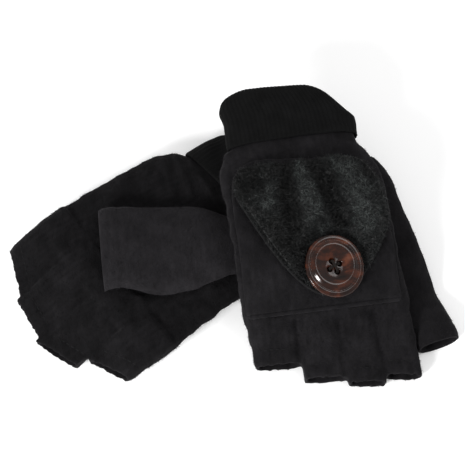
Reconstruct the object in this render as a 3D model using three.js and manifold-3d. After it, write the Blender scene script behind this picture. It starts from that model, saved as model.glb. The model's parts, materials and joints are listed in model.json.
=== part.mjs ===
// A pair of black convertible flip-top mittens, laid out as a stacked pair.
// The left mitten lies palm up. The right mitten lies back up, across the left one's wrist.
// Each mitten is a fingerless glove with a turned-up cuff and a pocket-shaped cap, folded back over the
// back of the hand and buttoned there. The cap is hinged along the knuckles and flips over the fingers.
//
// Units are millimetres, +Z up. Each mitten is built in its own frame: +X across the hand towards the
// thumb, -Y from the wrist to the fingers, +Z out of the back of the hand, with the wrist seam at y = 0
// and the middle of the hand's thickness at z = 0. `s` is the distance from the wrist seam, so y = -s.
import * as THREE from 'three';
import { mergeVertices } from 'three/addons/utils/BufferGeometryUtils.js';
import Module from 'manifold-3d';

const wasm = await Module();
wasm.setup();

// ---- driving dimensions --------------------------------------------------------------------------

const FLEECE = 1.6; // fleece sheet
const RIB = 1.6; // rib-knit cloth
const GAP = 0.35; // clearance between neighbouring sheets
const CROTCH_S = 97; // where the finger stubs leave the hand
const TUCK_S = -6; // the hand's wrist edge, held between the cuff's layers
const HEM_S = 4; // the free edge of the cuff's outer layer
const CUFF_END_S = -27; // the folded edge of the turned-up cuff

const HINGE_S = 95.3; // the knuckle line, where the cap is sewn on
const HINGE_RISE = 1.7; // the hinge line's height over the back of the hand
const CAP_TIP_S = 17; // the cap's closed tip, when it is folded back
const CAP_X = 1;
const CAP_HALF = 41;
const TONGUE = { u: 0.12, s: 92.4, depth: 44, power: 1.9 }; // the curve of the cap's mouth

const BUTTON = { x: 7.8, s: 79.6, radius: 15, thick: 4.6, holeRadius: 1.25, holeCircle: 2.9 };
const BUTTONHOLE = { s: 76.9, radius: 16.7 }; // the buttonhole, held open for the button's head
const SHANK_RADIUS = 2.6;

const FINGER_HALF_HEIGHT = 6.8;
const STUB_HEM = 8; // depth of the turned-in hem at each open end

// What differs between the two mittens: how they lie, and so how far each is flattened.
const RIGHT = {
  name: 'right',
  face: 1, // back of the hand up
  wristHalf: 30.2, // inside the cuff
  wristOpen: 3.6,
  cuffLean: -3.5,
  edges: [[11, -37.5, 37.5], [22, -41.6, 42.0], [45, -41.4, 43.6], [70, -40.6, 44.0], [97, -39.6, 44.8]],
  halfHeight: [[30, 7.4], [100, 7.4]],
  seat: 6.6, // height of the button's back over the hand
  fur: [[17, 6.6], [30, 9.4], [64, 9.6], [94, 7.6]], // height of the fur over the back of the hand
  fingers: [
    // name, centre x, half width, end s, splay in degrees
    { name: 'index', x: 35.2, half: 9.0, end: 130, splay: 1.6 },
    { name: 'middle', x: 16.3, half: 9.5, end: 132, splay: 1.8 },
    { name: 'ring', x: -4.0, half: 10.4, end: 127, splay: 2.6 },
    { name: 'little', x: -26.6, half: 11.6, end: 119, splay: 4.0 },
  ],
  // the thumb lies beside and just under the index finger's side
  thumb: [
    { s: 9, x: 30.0, z: -11.2, half: 19, high: 3.2, yaw: 6 },
    { s: 38, x: 36.0, z: -11.5, half: 16.5, high: 3.7, yaw: 14 },
    { s: 67, x: 43.5, z: -11.3, half: 13.6, high: 3.9, yaw: 14 },
    { s: 92, x: 51.0, z: -8.9, half: 11.4, high: 4.0, yaw: 13 },
    { s: 117, x: 56.7, z: -2.8, half: 10.4, high: 6.4, yaw: 10 },
  ],
  place: { x: 38.8, y: 45.5, turn: 0 },
  // height of the hand's middle over the table: it rises over the other mitten
  drape: (x, s) => {
    const rise = along([[-32, 37], [0, 34.5], [28, 31.8], [52, 28.4], [78, 21.2], [94, 14.4], [110, 10.6], [134, 7.6]], s);
    const roll = along([[-32, 0.08], [0, 0.13], [28, 0.17], [54, 0.19], [78, 0.13], [94, 0.03], [110, 0]], s);
    const cup = along([[-20, 0], [28, 0.0016], [68, 0.003], [91, 0]], s);
    return rise - roll * x + cup * x * x;
  },
};
const LEFT = {
  name: 'left',
  face: -1, // palm up, so everything is mirrored through the hand's middle
  wristHalf: 34.6,
  wristOpen: 3.0,
  cuffLean: 0,
  edges: [[11, -43.5, 43.5], [22, -48.0, 45.5], [45, -49.4, 47.6], [80, -49.6, 49.6], [97, -49.4, 49.4]],
  halfHeight: [[30, 5.0], [60, 5.0], [97, 6.6]],
  seat: 5.9,
  fur: [[17, 4.6], [30, 6.4], [64, 7.6], [94, 7.0]],
  fingers: [
    { name: 'index', x: 37.6, half: 11.4, end: 114, splay: 0.4 },
    { name: 'middle', x: 13.4, half: 12.2, end: 128, splay: 0 },
    { name: 'ring', x: -12.0, half: 12.4, end: 127, splay: 0 },
    { name: 'little', x: -37.2, half: 11.8, end: 117, splay: -0.6 },
  ],
  // the thumb is folded across the palm
  thumb: [
    { s: 11, x: 30.5, z: -9.4, half: 15.6, high: 3.8, yaw: -24 },
    { s: 34, x: 17.0, z: -9.35, half: 19.0, high: 3.9, yaw: -33 },
    { s: 57, x: 4.7, z: -9.6, half: 23.6, high: 4.0, yaw: -34 },
    { s: 81, x: -11.0, z: -12.7, half: 22.4, high: 6.3, yaw: -31 },
  ],
  place: { x: 7.8, y: 25.8, turn: -60.3 },
  drape: (x, s) => along([[-32, 8.9], [0, 9.3], [17, 11.6], [40, 14.5], [64, 15.9], [90, 16.8], [106, 14], [130, 9]], s),
};

// ---- small helpers -------------------------------------------------------------------------------

/** Smooth interpolation through [s, value, ...] rows, flat beyond the ends. */
function along(rows, s, column = 1) {
  const last = rows.length - 1;
  if (s <= rows[0][0]) return rows[0][column];
  if (s >= rows[last][0]) return rows[last][column];
  const k = rows.findIndex((row) => row[0] > s) - 1;
  const slope = (j) => {
    const [from, to] = [rows[Math.max(j - 1, 0)], rows[Math.min(j + 1, last)]];
    return j === 0 || j === last ? 0 : (to[column] - from[column]) / (to[0] - from[0]);
  };
  const span = rows[k + 1][0] - rows[k][0];
  const t = (s - rows[k][0]) / span;
  const rise = rows[k + 1][column] - rows[k][column];
  const [m0, m1] = [slope(k) * span, slope(k + 1) * span];
  return rows[k][column] + t * (m0 + t * (3 * rise - 2 * m0 - m1 + t * (m0 + m1 - 2 * rise)));
}

/** A point of an oval with flattened sides; a higher power makes it boxier. */
function oval(angle, halfWidth, halfHeight, power = 2.7) {
  const c = Math.cos(angle);
  const n = Math.sin(angle);
  return [
    halfWidth * Math.sign(c) * Math.abs(c) ** (2 / power),
    halfHeight * Math.sign(n) * Math.abs(n) ** (2 / power),
  ];
}

const spread = (from, to, steps) => Array.from({ length: steps + 1 }, (_, k) => from + ((to - from) * k) / steps);

/** A closed solid between two grids of points. With `round` the columns close on themselves, as in a tube. */
function clothSolid(outer, inner, round = false) {
  const rows = outer.length;
  const columns = outer[0].length;
  const points = [...outer.flat(), ...inner.flat()];
  const out = (i, j) => i * columns + (j % columns);
  const back = (i, j) => rows * columns + out(i, j);
  const triangles = [];
  const quad = (a, b, c, d) => triangles.push(a, b, c, a, c, d);
  const spans = round ? columns : columns - 1;
  for (let j = 0; j < spans; j++) {
    for (let i = 0; i < rows - 1; i++) {
      quad(out(i, j), out(i, j + 1), out(i + 1, j + 1), out(i + 1, j));
      quad(back(i, j), back(i + 1, j), back(i + 1, j + 1), back(i, j + 1));
    }
    quad(out(0, j), back(0, j), back(0, j + 1), out(0, j + 1));
    const last = rows - 1;
    quad(out(last, j), out(last, j + 1), back(last, j + 1), back(last, j));
  }
  for (let i = 0; i < rows - 1 && !round; i++) {
    const edge = columns - 1;
    quad(out(i, 0), out(i + 1, 0), back(i + 1, 0), back(i, 0));
    quad(out(i, edge), back(i, edge), back(i + 1, edge), out(i + 1, edge));
  }
  return solidFrom(points, triangles);
}

/** A ring of cross-sections that closes on itself, such as a doubled-over cuff. */
function hoop(rings) {
  const size = rings[0].length;
  const triangles = [];
  rings.forEach((ring, i) => {
    const next = (i + 1) % rings.length;
    for (let j = 0; j < size; j++) {
      const k = (j + 1) % size;
      triangles.push(i * size + j, i * size + k, next * size + k);
      triangles.push(i * size + j, next * size + k, next * size + j);
    }
  });
  return solidFrom(rings.flat(), triangles);
}

/** An indexed geometry, with its faces turned outwards. */
function solidFrom(points, triangles) {
  const geometry = new THREE.BufferGeometry().setFromPoints(points);
  let volume = 0;
  for (let k = 0; k < triangles.length; k += 3) {
    const [a, b, c] = triangles.slice(k, k + 3).map((n) => points[n]);
    volume += a.dot(b.clone().cross(c));
  }
  if (volume < 0) for (let k = 0; k < triangles.length; k += 3) triangles.splice(k, 2, triangles[k + 1], triangles[k]);
  return geometry.setIndex(triangles);
}

function toManifold(geometry) {
  const bare = geometry.clone();
  bare.deleteAttribute('normal');
  bare.deleteAttribute('uv');
  const merged = mergeVertices(bare, 1e-4);
  return new wasm.Manifold(
    new wasm.Mesh({
      numProp: 3,
      vertProperties: merged.attributes.position.array,
      triVerts: new Uint32Array(merged.index.array),
    }),
  );
}

function fromManifold(solid) {
  const { vertProperties, triVerts } = solid.getMesh();
  return new THREE.BufferGeometry()
    .setAttribute('position', new THREE.BufferAttribute(new Float32Array(vertProperties), 3))
    .setIndex(new THREE.BufferAttribute(new Uint32Array(triVerts), 1));
}

const subtract = (geometry, ...tools) =>
  fromManifold(tools.reduce((rest, tool) => rest.subtract(toManifold(tool)), toManifold(geometry)));

const join = (first, ...others) =>
  fromManifold(others.reduce((whole, other) => whole.add(toManifold(other)), toManifold(first)));

/** An upright cylinder with its axis along Z, from z = low to z = high. */
function post(x, s, radius, low, high, sides = 24) {
  return new THREE.CylinderGeometry(radius, radius, high - low, sides)
    .rotateX(Math.PI / 2)
    .translate(x, -s, (low + high) / 2);
}

/** Turns mitten coordinates into how the mitten lies: raised over what is under it, and facing up or down. */
function lay(geometry, side) {
  const p = geometry.getAttribute('position');
  for (let k = 0; k < p.count; k++) p.setZ(k, side.drape(p.getX(k), -p.getY(k)) + side.face * p.getZ(k));
  return side.face > 0 ? geometry : turnedOut(geometry);
}

/** The same, for a stiff piece: it keeps its shape and takes the height at its own place. */
function layStiff(geometry, side, x, s) {
  const slopeX = (side.drape(x + 1, s) - side.drape(x - 1, s)) / 2;
  const slopeS = (side.drape(x, s + 1) - side.drape(x, s - 1)) / 2;
  const p = geometry.getAttribute('position');
  for (let k = 0; k < p.count; k++) {
    const rise = side.drape(x, s) + slopeX * (p.getX(k) - x) + slopeS * (-p.getY(k) - s);
    p.setZ(k, rise + side.face * p.getZ(k));
  }
  return side.face > 0 ? geometry : turnedOut(geometry);
}

/** Reverses each face of a mirrored geometry. */
function turnedOut(geometry) {
  const { array } = geometry.index;
  for (let k = 0; k < array.length; k += 3) [array[k], array[k + 1]] = [array[k + 1], array[k]];
  return geometry;
}

// ---- materials -----------------------------------------------------------------------------------

const material = (color, roughness, metalness = 0) =>
  new THREE.MeshStandardMaterial({ color, roughness, metalness });
const fleeceBlack = material(0x1d1b1e, 0.95);
const ribKnit = material(0x121213, 0.95);
const furBlack = material(0x1b2021, 0.75);
const liningBlack = material(0x171618, 0.9);
const tapeBlack = material(0x101011, 0.85);
const hornBrown = material(0x4a1d10, 0.18);
const threadBrown = material(0x241a17, 0.8);

// ---- the hand ------------------------------------------------------------------------------------

const HAND_STATIONS = [TUCK_S, HEM_S, 11, 22, 38, 54, 70, 84, CROTCH_S - 0.4];
const SEAM = 0.18; // half the slit between two panels that are sewn edge to edge

/** The hand's outline at s: its two edges, its half height and how boxy its section is. */
function handAt(side, s) {
  const tucked = side.wristHalf + RIB + GAP + FLEECE;
  const wrist = [[TUCK_S, -tucked, tucked], [HEM_S + 2, -tucked, tucked]];
  const edges = [...wrist, ...side.edges];
  const high = [[HEM_S + 2, side.wristOpen + RIB + GAP + FLEECE], ...side.halfHeight];
  const [low, far] = [along(edges, s, 1), along(edges, s, 2)];
  return { x: (low + far) / 2, half: (far - low) / 2, high: along(high, s), power: along([[6, 2.6], [24, 3.2]], s) };
}

const backOf = (side, s) => handAt(side, s).high;

/** One of the hand's two panels: `way` is 1 for the back and -1 for the palm. */
function handPanel(side, way) {
  const row = (s, inset) => {
    const { x, half, high, power } = handAt(side, s);
    return spread(0, Math.PI, 14).map((angle) => {
      const [across, up] = oval(angle, half - inset, high - inset - SEAM, power);
      return new THREE.Vector3(x + across, -s, way * (up + SEAM));
    });
  };
  return clothSolid(HAND_STATIONS.map((s) => row(s, 0)), HAND_STATIONS.map((s) => row(s, FLEECE)));
}

/** The opening in the palm that the thumb goes through. */
function thumbHole(side) {
  const [base, next] = side.thumb;
  return new THREE.CylinderGeometry(1, 1, 14, 20)
    .rotateX(Math.PI / 2)
    .scale(9.5, 10, 1)
    .translate((base.x + next.x) / 2 - 5, -(base.s + 13), -backOf(side, 24));
}

// ---- finger stubs and thumb ------------------------------------------------------------------------

const ROUND = spread(0, 2 * Math.PI, 14).slice(0, -1);

/** A section across a flattened tube at a station {x, s, z, half, high, yaw}, `inset` in from its outline. */
function section({ x, s, z, half, high, yaw }, inset, angles) {
  return angles.map((angle) => {
    const [across, up] = oval(angle, half - inset, high - inset, 2.5);
    return new THREE.Vector3(x + across * Math.cos(yaw), -s + across * Math.sin(yaw), z + up);
  });
}

/** A finger stub: an open tube whose end is turned in to make a hem. */
function fingerStub(finger) {
  const yaw = THREE.MathUtils.degToRad(finger.splay);
  const start = CROTCH_S + 0.2;
  const hem = finger.end - STUB_HEM;
  const rows = [[start, 0], [(start + hem) / 2, 0], [hem, 0], [hem + 0.8, 1], [finger.end, 1]].map(([s, doubled]) => {
    const reach = s - start;
    const station = { x: finger.x + reach * Math.tan(yaw), s, z: 0, half: finger.half, high: FINGER_HALF_HEIGHT, yaw };
    return [section(station, 0, ROUND), section(station, FLEECE + doubled * 1.1, ROUND)];
  });
  return clothSolid(rows.map(([outer]) => outer), rows.map(([, inner]) => inner), true);
}

const thumbStations = (side) => side.thumb.map((t) => ({ ...t, yaw: THREE.MathUtils.degToRad(t.yaw) }));

/** One of the thumb's two panels. The one away from the palm also covers the thumb opening. */
function thumbPanel(side, away) {
  const stations = thumbStations(side).slice(away ? 0 : 2);
  const arc = away ? spread(-Math.PI, 0, 10) : spread(0, Math.PI, 10);
  const row = (t, inset) => section(t, inset, arc).map((p) => p.setZ(p.z + (away ? -SEAM : SEAM)));
  return clothSolid(stations.map((t) => row(t, 0)), stations.map((t) => row(t, FLEECE)));
}

/** The turned-in hem at the thumb's open end. */
function thumbHem(side) {
  const [before, last] = thumbStations(side).slice(-2);
  const length = Math.hypot(last.s - before.s, last.x - before.x);
  const at = (back) => {
    const mix = (key) => THREE.MathUtils.lerp(last[key], before[key], back / length);
    return { x: mix('x'), s: mix('s'), z: mix('z'), half: mix('half'), high: mix('high'), yaw: mix('yaw') };
  };
  const rings = [at(STUB_HEM), at(0.4)];
  const inset = FLEECE + GAP + SEAM;
  return clothSolid(
    rings.map((t) => section(t, inset, ROUND)),
    rings.map((t) => section(t, inset + 0.8, ROUND)),
    true,
  );
}

// ---- the cuff ------------------------------------------------------------------------------------

/** The rib-knit cuff: one sleeve doubled back over itself, with the hand's edge held between its layers. */
function cuff(side) {
  const between = FLEECE + 2 * GAP; // room for the hand's edge between the layers
  const ring = (s, inset) => {
    const closing = along([[CUFF_END_S, 4.6], [CUFF_END_S + 9, 1.4], [TUCK_S - 2, 0]], s); // the fold draws in
    const lean = along([[CUFF_END_S, side.cuffLean], [TUCK_S - 2, 0]], s);
    return spread(0, 2 * Math.PI, 28).slice(0, -1).map((angle) => {
      const [x, z] = oval(angle, side.wristHalf - closing + inset, side.wristOpen - 0.08 * closing + inset, 2.6);
      return new THREE.Vector3(x + lean, -s, z);
    });
  };
  const down = [HEM_S, TUCK_S, -14, CUFF_END_S + 5];
  const folded = 2 * RIB + between;
  return hoop([
    ...down.map((s) => ring(s, folded)),
    ring(CUFF_END_S + 1.4, folded - 0.9),
    ring(CUFF_END_S, RIB + between / 2),
    ring(CUFF_END_S + 1.4, 0.9),
    ...down.map((s) => ring(s, 0)).reverse(),
    ...down.map((s) => ring(s, RIB)),
    ring(CUFF_END_S + 3.6, RIB + between / 2),
    ...down.map((s) => ring(s, RIB + between)).reverse(),
  ]);
}

// ---- the cap -------------------------------------------------------------------------------------

/** Half the cap's width at s: full at the knuckles, rounded off at its closed tip. */
function capHalf(s) {
  const t = THREE.MathUtils.clamp((HINGE_S - s) / (HINGE_S - CAP_TIP_S), 0, 1);
  return CAP_HALF * (1 - 0.9 * t ** 9) ** (1 / 3);
}

/** A point of the cap's mouth, `inset` in from its edge, as [x, s]; u runs from -1 to 1 across the cap. */
function mouth(u, inset) {
  const v = u - TONGUE.u;
  const s = TONGUE.s - TONGUE.depth * Math.abs(v) ** TONGUE.power;
  const slope = (-TONGUE.depth * TONGUE.power * Math.sign(v) * Math.abs(v) ** (TONGUE.power - 1)) / CAP_HALF;
  const length = Math.hypot(1, slope);
  return [CAP_X + u * capHalf(s) + (inset * slope) / length, s - inset / length];
}

const ACROSS = spread(-1, 1, 14);
const shankHole = () => post(BUTTON.x, BUTTON.s, SHANK_RADIUS + 0.9, -5, 40, 12);

/** The cap's back panel. It lies on the hand when the cap is folded back, and over the fingers when closed. */
function capBack(side) {
  const stations = spread(HINGE_S - 1.25, CAP_TIP_S + 1.5, 8);
  const row = (s, up) =>
    ACROSS.map((u) => new THREE.Vector3(CAP_X + u * (capHalf(s) - 0.6), -s, backOf(side, s) + HINGE_RISE + up));
  const sheet = clothSolid(stations.map((s) => row(s, FLEECE / 2)), stations.map((s) => row(s, -FLEECE / 2)));
  return subtract(sheet, post(BUTTON.x, BUTTONHOLE.s, BUTTONHOLE.radius, 0, 30, 32));
}

/** A sheet of the cap's front, from its tip to its curved mouth, between two heights over the hand's back. */
function capFront(side, low, high) {
  const grid = (height) =>
    spread(0, 1, 9).map((t) =>
      ACROSS.map((u) => {
        const [endX, endS] = mouth(u, 2.3);
        const s = THREE.MathUtils.lerp(CAP_TIP_S, endS, t);
        const endU = (endX - CAP_X) / capHalf(endS);
        const x = CAP_X + THREE.MathUtils.lerp(u, endU, t) * (capHalf(s) - 0.4);
        return new THREE.Vector3(x, -s, backOf(side, s) + height(x, s, u));
      }),
    );
  return subtract(clothSolid(grid(high), grid(low)), shankHole());
}

const LINING_RISE = 3.0;
const FUR_RISE = LINING_RISE + 0.8 + GAP;
const sag = (u, depth) => depth * Math.abs(u) ** 4; // the sides of the pocket come down to its side seam

const capLining = (side) => capFront(side, () => LINING_RISE, () => LINING_RISE + 0.8);

/** The furry front. Under the button the pile is pressed down to the button's seat. */
function capFur(side) {
  const high = (x, s, u) => {
    const away = Math.hypot(x - BUTTON.x, s - BUTTON.s) - BUTTON.radius;
    const pressed = side.seat - GAP + Math.max(0, away - 3.5) * 0.5;
    return Math.max(Math.min(along(side.fur, s) - sag(u, 2.2), pressed), FUR_RISE + 0.9);
  };
  return capFront(side, () => FUR_RISE, high);
}

/** The binding along the cap's curved mouth. */
function capBinding(side) {
  const rows = spread(-0.96, 0.96, 22).map((u) => {
    const [x, s] = mouth(u, 0.9);
    const [towardX, towardS] = mouth(u, 1.9);
    const out = new THREE.Vector3(x - towardX, towardS - s, 0);
    const middle = new THREE.Vector3(x, -s, backOf(side, s) + FUR_RISE);
    return spread(0, 2 * Math.PI, 8).slice(0, -1).map((angle) => {
      const [wide, up] = oval(angle, 0.95, 1.1, 2.4);
      return middle.clone().addScaledVector(out, wide).add(new THREE.Vector3(0, 0, up));
    });
  });
  return rod(rows);
}

/** A solid rod through a row of rings, closed at both ends. */
function rod(rows) {
  const size = rows[0].length;
  const last = (rows.length - 1) * size;
  const triangles = [];
  for (let i = 0; i < rows.length - 1; i++) {
    for (let j = 0; j < size; j++) {
      const [a, b] = [i * size + j, i * size + ((j + 1) % size)];
      triangles.push(a, b, b + size, a, b + size, a + size);
    }
  }
  for (let j = 1; j < size - 1; j++) triangles.push(0, j + 1, j, last, last + j, last + j + 1);
  return solidFrom(rows.flat(), triangles);
}

/** The seam that joins the cap to the knuckles: a thin roll of cloth on the hinge line. */
function hingeSeam(side) {
  return new THREE.CylinderGeometry(0.8, 0.8, 2 * CAP_HALF - 4, 10)
    .rotateZ(Math.PI / 2)
    .translate(CAP_X, -HINGE_S, backOf(side, HINGE_S) + HINGE_RISE);
}

// ---- the button ----------------------------------------------------------------------------------

const DISH = 2.4; // thickness of the button's dished middle
const UNDERSIDE = 0.5;

const holePlaces = () =>
  spread(0, 3, 3).map((k) => {
    const angle = THREE.MathUtils.degToRad(22 + 90 * k);
    return [BUTTON.holeCircle * Math.cos(angle), BUTTON.holeCircle * Math.sin(angle)];
  });

const peg = (x, y, radius, low, high, sides = 8) =>
  new THREE.CylinderGeometry(radius, radius, high - low, sides).rotateX(Math.PI / 2).translate(x, y, (low + high) / 2);

/** A four-hole coat button with a bevelled rim, a raised ring and a dished middle. */
function buttonBody() {
  const { radius, thick, holeRadius } = BUTTON;
  const profile = [
    [0, UNDERSIDE],
    [radius - 2.2, UNDERSIDE + 0.2],
    [radius - 0.3, 1.8],
    [radius, 2.6],
    [radius - 0.7, 3.3],
    [radius - 2.2, 3.6],
    [radius - 3.0, 3.3],
    [radius - 4.2, thick - 0.1],
    [radius - 5.4, thick],
    [radius - 7.6, 3.7],
    [radius - 9.8, DISH + 0.1],
    [0, DISH],
  ].map(([r, z]) => new THREE.Vector2(r, z));
  const disc = new THREE.LatheGeometry(profile, 28).rotateX(Math.PI / 2);
  return subtract(disc, ...holePlaces().map(([x, y]) => peg(x, y, holeRadius, -2, 8)));
}

/** The sewing thread: a wound shank, a strand up each hole and two stitches across the button's face. */
function buttonThread(side) {
  const back = UNDERSIDE - GAP;
  const face = DISH + GAP;
  const foot = -(side.seat - GAP);
  const holes = holePlaces();
  const stitches = [0, 1].map((k) => {
    const [dx, dy] = [holes[k + 2][0] - holes[k][0], holes[k + 2][1] - holes[k][1]];
    return new THREE.BoxGeometry(Math.hypot(dx, dy) + 1, 1.1, 0.9).rotateZ(Math.atan2(dy, dx)).translate(0, 0, face + 0.45);
  });
  return join(
    peg(0, 0, SHANK_RADIUS, foot, back - 0.6, 12),
    peg(0, 0, 3.2, back - 0.7, back, 12),
    ...holes.map(([x, y]) => peg(x, y, 0.7, back - 0.3, face + 0.6, 6)),
    ...stitches,
  );
}

// ---- assembly ------------------------------------------------------------------------------------

function mitten(side) {
  const group = new THREE.Group();
  const piece = (name, geometry, look) => {
    const mesh = new THREE.Mesh(geometry, look);
    mesh.name = `${side.name}_${name}`;
    group.add(mesh);
  };
  const soft = (name, geometry, look) => piece(name, lay(geometry, side), look);

  soft('back_panel', handPanel(side, 1), fleeceBlack);
  soft('palm_panel', subtract(handPanel(side, -1), thumbHole(side)), fleeceBlack);
  soft('cuff', cuff(side), ribKnit);
  for (const finger of side.fingers) soft(`${finger.name}_stub`, fingerStub(finger), fleeceBlack);
  soft('thumb_front', thumbPanel(side, true), fleeceBlack);
  soft('thumb_back', thumbPanel(side, false), fleeceBlack);
  soft('thumb_hem', thumbHem(side), fleeceBlack);
  soft('hinge_seam', hingeSeam(side), tapeBlack);
  soft('cap_back', capBack(side), fleeceBlack);
  soft('cap_lining', capLining(side), liningBlack);
  soft('cap_fur', capFur(side), furBlack);
  soft('cap_binding', capBinding(side), tapeBlack);

  const { x, s } = BUTTON;
  const onBack = (geometry) => layStiff(geometry.translate(x, -s, backOf(side, s) + side.seat), side, x, s);
  piece('button', onBack(buttonBody()), hornBrown);
  piece('button_thread', onBack(buttonThread(side)), threadBrown);

  group.rotation.z = THREE.MathUtils.degToRad(side.place.turn);
  group.position.set(side.place.x, side.place.y, 0);
  return group;
}

// The origin is on the table, under the middle of the pair.
const pair = new THREE.Group();
pair.add(mitten(RIGHT), mitten(LEFT));
const box = new THREE.Box3().setFromObject(pair);
const middle = box.getCenter(new THREE.Vector3());
for (const child of pair.children) child.position.sub(new THREE.Vector3(middle.x, middle.y, box.min.z));

export default pair;
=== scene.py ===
"""The looks of a pair of black convertible flip-top mittens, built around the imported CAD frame.

Lengths are in millimetres in each mitten's own frame and become metres when a piece is placed: x runs
across the hand towards the thumb, s from the wrist seam towards the fingers, and z out of the back of the
hand. The frame's joints say where each mitten lies. The cloth is meshed from smooth fields, and the pile of
the fur and the nap of the fleece are real fibres.
"""

import json
import math

import bpy
import numpy as np
from mathutils import Matrix, Vector


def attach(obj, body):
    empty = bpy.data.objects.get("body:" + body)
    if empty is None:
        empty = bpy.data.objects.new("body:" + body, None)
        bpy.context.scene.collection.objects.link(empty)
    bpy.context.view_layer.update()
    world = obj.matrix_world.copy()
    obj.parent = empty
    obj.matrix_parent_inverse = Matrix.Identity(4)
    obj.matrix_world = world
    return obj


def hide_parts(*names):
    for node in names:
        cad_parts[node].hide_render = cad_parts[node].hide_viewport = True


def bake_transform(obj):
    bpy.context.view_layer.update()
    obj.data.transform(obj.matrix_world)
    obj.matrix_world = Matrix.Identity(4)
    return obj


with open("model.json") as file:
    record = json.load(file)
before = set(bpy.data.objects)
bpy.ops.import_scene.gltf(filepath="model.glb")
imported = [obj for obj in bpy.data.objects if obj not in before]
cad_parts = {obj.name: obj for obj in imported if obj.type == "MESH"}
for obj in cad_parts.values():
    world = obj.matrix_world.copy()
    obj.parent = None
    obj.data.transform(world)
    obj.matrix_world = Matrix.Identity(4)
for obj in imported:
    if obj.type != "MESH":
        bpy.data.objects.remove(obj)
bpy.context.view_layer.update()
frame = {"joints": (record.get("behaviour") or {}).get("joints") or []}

# ---- the CAD model's own dimensions ----

FLEECE, RIB, GAP = 1.6, 1.6, 0.35
CROTCH_S, TUCK_S, HEM_S, CUFF_END_S = 97, -6, 4, -27
HINGE_S, HINGE_RISE = 95.3, 1.7
CAP_TIP_S, CAP_X, CAP_HALF = 17, 1, 41
TONGUE_U, TONGUE_S, TONGUE_DEPTH, TONGUE_POWER = 0.12, 92.4, 44, 1.9
BUTTON_X, BUTTON_S, BUTTON_RADIUS, BUTTON_THICK = 7.8, 79.6, 15, 4.6
HOLE_RADIUS, HOLE_CIRCLE, HOLE_TURN = 1.25, 2.9, 22
SLIT_S, SLIT_HALF = 76.6, 14.2  # the buttonhole's middle and half its length
FINGER_HIGH = 6.8
LINING_RISE, FUR_RISE = 3.0, 4.15
DISH, UNDERSIDE = 2.4, 0.5
BINDING_RADIUS, ROLL_RADIUS, WINDING_RADIUS = 0.0008, 0.00125, 0.00042  # in metres
WRIST_POWER, PALM_POWER, STUB_POWER, THUMB_POWER = 2.6, 3.2, 2.7, 2.5  # how boxy the sections are

RIGHT = dict(
    name="right", face=1, wrist_half=30.2, wrist_open=3.6, cuff_lean=-3.5, cuff_pull=-1, hem_slant=-0.09,
    edges=[[11, -37.5, 37.5], [22, -41.6, 42.0], [45, -41.4, 43.6], [70, -40.6, 44.0], [97, -39.6, 44.8]],
    high=[[30, 7.4], [100, 7.4]],
    seat=6.6,  # how high the button stands over the hand's back
    fur=[[17, 6.6], [30, 9.4], [64, 9.6], [94, 7.6]],
    puff=1.0,  # how far the fur's lobes stand up
    pile=3.4,  # the length of the fur
    # each finger's middle, half width, open end, splay in degrees and how its end slants
    fingers=[
        (35.2, 9.0, 131.5, 1.6, 0.15), (16.3, 9.5, 132.5, 1.8, 0.12), (-4.0, 10.4, 127.5, 2.6, 0.08),
        (-26.6, 11.6, 117.8, 4.0, 0.05),
    ],
    # the thumb's stations: s, x, z, half width, half height, yaw in degrees
    thumb=[
        (9, 30.0, -11.2, 19.0, 3.2, 6), (38, 36.0, -11.5, 16.5, 3.7, 14), (67, 43.5, -11.3, 13.6, 3.9, 14),
        (92, 51.0, -8.9, 11.4, 4.0, 13), (117, 56.7, -2.8, 10.4, 6.4, 10),
    ],
    root_draw=9,  # how much the thumb narrows a side at its rounded root
    root_wide=0,  # and how much it spreads out above it
    thumb_cut=0.068,
    # middling painted light on the right thumb's fleece
    thumb_painted_light=0.36,
    rise=[[-32, 37], [0, 34.5], [28, 31.8], [52, 28.4], [78, 21.2], [94, 14.4], [110, 10.6], [134, 7.6]],
    roll=[[-32, 0.08], [0, 0.13], [28, 0.17], [54, 0.19], [78, 0.13], [94, 0.03], [110, 0]],
    cup=[[-20, 0], [28, 0.0016], [68, 0.003], [91, 0]],
)
LEFT = dict(
    name="left", face=-1, wrist_half=34.6, wrist_open=3.0, cuff_lean=0, cuff_pull=0, hem_slant=-0.05,
    edges=[[11, -43.5, 43.5], [22, -48.0, 45.5], [45, -49.4, 47.6], [80, -49.6, 49.6], [97, -49.4, 49.4]],
    high=[[30, 5.0], [60, 5.0], [97, 6.6]],
    seat=5.9,
    fur=[[17, 4.6], [30, 6.4], [64, 7.6], [94, 7.0]],
    puff=0.35,
    pile=1.8,  # pressed short under the mitten
    fingers=[
        (37.6, 11.4, 113, 0.4, -0.42), (13.4, 12.2, 128.6, 0, -0.35), (-12.0, 12.4, 129.2, 0, 0.1),
        (-37.2, 11.8, 120.5, -0.6, 0.4),
    ],
    thumb=[
        (11, 30.5, -9.4, 15.6, 3.8, -24), (34, 17.0, -9.35, 19.0, 3.9, -33), (57, 4.7, -9.6, 23.6, 4.0, -34),
        (81, -11.0, -12.7, 22.4, 6.3, -31),
    ],
    root_draw=3,
    root_wide=5,
    thumb_cut=0.086,
    # strong painted light on the left thumb's fleece, which faces the key lamp
    thumb_painted_light=0.84,
    rise=[[-32, 8.9], [0, 9.3], [17, 11.6], [40, 14.5], [64, 15.9], [90, 16.8], [106, 14], [130, 9]],
    roll=[[0, 0], [1, 0]],
    cup=[[0, 0], [1, 0]],
)


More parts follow.
